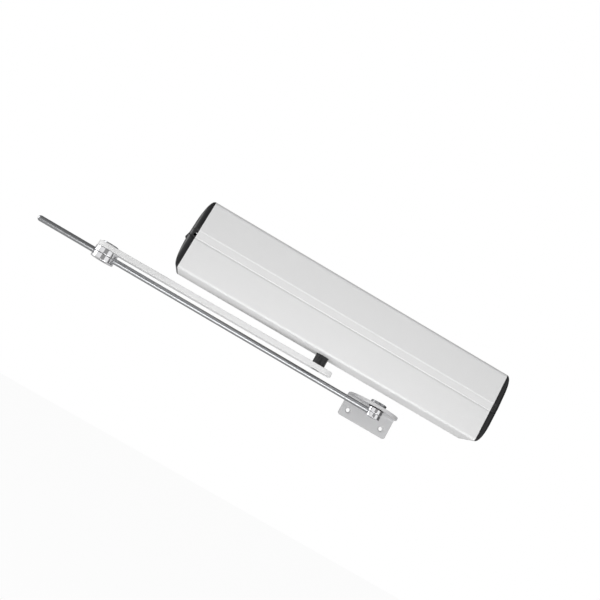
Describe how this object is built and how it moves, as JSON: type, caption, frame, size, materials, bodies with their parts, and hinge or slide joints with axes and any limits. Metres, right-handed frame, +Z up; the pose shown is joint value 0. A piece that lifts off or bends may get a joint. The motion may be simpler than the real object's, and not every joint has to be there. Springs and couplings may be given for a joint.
{
  "type": "swing door operator",
  "caption": "Slim wall-mounted swing door operator with black end caps, a geared motor inside and a two-piece folding arm with a sliding rod.",
  "frame": {"origin": "centre of the wall hole pattern on the base plate's back face, in the wall plane, on the spindle's X", "axes": "+X right along the body as seen from the room, +Y into the wall, +Z up"},
  "size_m": [0.7228, 0.1266, 0.167],
  "materials": {
    "cover": "light grey powder coat on extruded aluminium",
    "cap_plastic": "black moulded, fine grain",
    "plated_steel": "zinc plated sheet",
    "screw_steel": "zinc plated, turned",
    "grommet_rubber": "matt",
    "switch_plastic": "black, smooth",
    "cast_aluminium": "die cast, blasted",
    "bearing_steel": "ground",
    "turned_steel": "turned",
    "gear_bronze": "machined bronze",
    "motor_steel": "dark enamel on rolled steel",
    "ferrite": "sintered, matt",
    "core_iron": "stacked laminations",
    "copper_wire": "enamelled copper winding",
    "copper_bar": "copper bars, brushed",
    "carbon": "pressed carbon",
    "motor_plastic": "moulded",
    "board": "green solder mask on glass laminate",
    "standoff_brass": "nickel free brass, turned",
    "terminal_plastic": "green moulded",
    "capacitor_sleeve": "shrunk sleeve",
    "relay_plastic": "moulded case",
    "heatsink_aluminium": "extruded",
    "coil_tape": "yellow coil tape",
    "black_steel": "black oxide on steel",
    "arm_paint": "light grey powder coat on steel",
    "bolt_steel": "dark plated",
    "chrome_disc": "bright chrome plate",
    "rod_steel": "drawn steel",
    "washer_plastic": "black nylon",
    "bracket_paint": "silver grey coat on bent steel"
  },
  "bodies": {
    "housing": {"base_plate": "plated_steel", "cover": "cover", "top_filler": "cover", "bottom_filler": "cover", "end_cap_left": "cap_plastic", "end_cap_right": "cap_plastic", "end_bracket_left": "plated_steel", "end_bracket_right": "plated_steel", "base_screws": "screw_steel", "cable_grommet": "grommet_rubber", "switch_body": "switch_plastic", "gearbox_lower": "cast_aluminium", "gearbox_upper": "cast_aluminium", "gearbox_screws": "screw_steel", "feet_screws": "screw_steel", "bearing_outer_rings": "bearing_steel", "bearing_balls": "bearing_steel", "motor_flange": "cast_aluminium", "motor_can": "motor_steel", "motor_magnets": "ferrite", "brushes": "carbon", "motor_end_bell": "motor_plastic", "encoder_board": "board", "motor_bracket": "plated_steel", "control_board": "board", "standoffs": "standoff_brass", "small_screws": "screw_steel", "terminal_block": "terminal_plastic", "terminal_screws": "screw_steel", "capacitors": "capacitor_sleeve", "relays": "relay_plastic", "heatsink": "heatsink_aluminium", "transformer_core": "core_iron", "transformer_coil": "coil_tape", "transformer_feet": "plated_steel"},
    "drive": {"output_shaft": "turned_steel", "worm_wheel": "gear_bronze", "shaft_spacers": "turned_steel", "shaft_inner_rings": "bearing_steel", "spindle": "black_steel", "main_arm": "arm_paint", "arm_screw": "screw_steel", "elbow_bush": "gear_bronze"},
    "rotor": {"worm": "turned_steel", "worm_inner_rings": "bearing_steel", "motor_rotor": "core_iron", "rotor_windings": "copper_wire", "commutator": "copper_bar", "encoder_magnet": "ferrite"},
    "clamp": {"elbow_bolt": "bolt_steel", "clamp_disc_upper": "chrome_disc", "clamp_disc_lower": "chrome_disc"},
    "rod": {"rod": "rod_steel", "pivot_bolt": "bolt_steel", "pivot_washer": "washer_plastic", "pivot_disc_upper": "chrome_disc", "pivot_disc_lower": "chrome_disc"},
    "bracket": {"frame_bracket": "bracket_paint"},
    "rocker": {"rocker": "switch_plastic"}
  },
  "joints": [
    {"name": "spindle_turn", "type": "hinge", "parent": "housing", "child": "drive", "pos_m": [0, -0.03, 0], "axis": [0, 0, 1], "range_deg": [0, 110]},
    {"name": "worm_turn", "type": "hinge", "parent": "housing", "child": "rotor", "pos_m": [0, -0.054, 0], "axis": [1, 0, 0], "range_deg": [-3080, 0]},
    {"name": "elbow_turn", "type": "hinge", "parent": "drive", "child": "clamp", "pos_m": [-0.35336, -0.00876, -0.0871], "axis": [0, 0, 1], "continuous": true},
    {"name": "rod_slide", "type": "slide", "parent": "clamp", "child": "rod", "axis": [0.9994, 0.0349, 0], "range_m": [-0.025, 0.085]},
    {"name": "bracket_turn", "type": "hinge", "parent": "rod", "child": "bracket", "pos_m": [0.11635, 0.00764, -0.078], "axis": [0, 0, 1], "range_deg": [-200, 35]},
    {"name": "switch_rock", "type": "hinge", "parent": "housing", "child": "rocker", "pos_m": [-0.258, -0.04, -0.0025], "axis": [0, -1, 0], "range_deg": [0, 30]}
  ],
  "couplings": [
    {"joint": "worm_turn", "follows": "spindle_turn", "ratio": -28}
  ]
}
